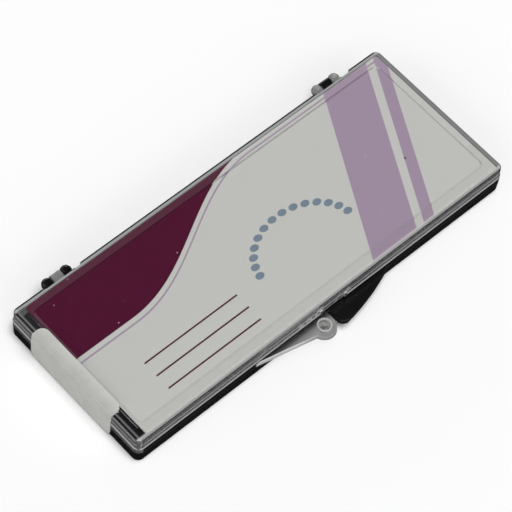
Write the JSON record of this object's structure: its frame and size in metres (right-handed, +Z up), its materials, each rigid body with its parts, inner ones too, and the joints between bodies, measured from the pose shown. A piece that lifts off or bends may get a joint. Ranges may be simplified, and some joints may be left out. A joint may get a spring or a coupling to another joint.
{
  "type": "hinged orthodontic bracket case",
  "caption": "Flat hinged case: black tray, clear snap lid over a printed card, thumb tabs, a paper seal on one end, and orthodontic brackets on a sticky pad inside.",
  "frame": {"origin": "middle of the tray's flat underside", "axes": "+X along the case with the seal at -X, +Y towards the hinges, +Z up through the lid"},
  "size_m": [0.1402, 0.065, 0.0115],
  "materials": {
    "tray_black": "black moulded polystyrene, satin gloss",
    "lid_clear": "clear moulded polystyrene, polished",
    "card_print": "white coated card with a plain maroon and lilac print",
    "seal_paper": "matt warm white paper seal",
    "pad_board": "white sticky board with thin guide lines",
    "bracket_ceramic": "translucent polished ceramic"
  },
  "bodies": {
    "tray": {"base_tray": "tray_black", "adhesive_pad": "pad_board", "bracket_upper_right_1": "bracket_ceramic", "bracket_upper_right_2": "bracket_ceramic", "bracket_upper_right_3": "bracket_ceramic", "bracket_upper_right_4": "bracket_ceramic", "bracket_upper_right_5": "bracket_ceramic", "bracket_upper_left_1": "bracket_ceramic", "bracket_upper_left_2": "bracket_ceramic", "bracket_upper_left_3": "bracket_ceramic", "bracket_upper_left_4": "bracket_ceramic", "bracket_upper_left_5": "bracket_ceramic", "bracket_lower_right_1": "bracket_ceramic", "bracket_lower_right_2": "bracket_ceramic", "bracket_lower_right_3": "bracket_ceramic", "bracket_lower_right_4": "bracket_ceramic", "bracket_lower_right_5": "bracket_ceramic", "bracket_lower_left_1": "bracket_ceramic", "bracket_lower_left_2": "bracket_ceramic", "bracket_lower_left_3": "bracket_ceramic", "bracket_lower_left_4": "bracket_ceramic", "bracket_lower_left_5": "bracket_ceramic"},
    "lid": {"lid": "lid_clear", "insert_card": "card_print", "seal_tape": "seal_paper"}
  },
  "joints": [
    {"name": "lid_hinge", "type": "hinge", "parent": "tray", "child": "lid", "pos_m": [0, 0.029, 0.0069], "axis": [-1, 0, 0], "range_deg": [0, 180]}
  ]
}
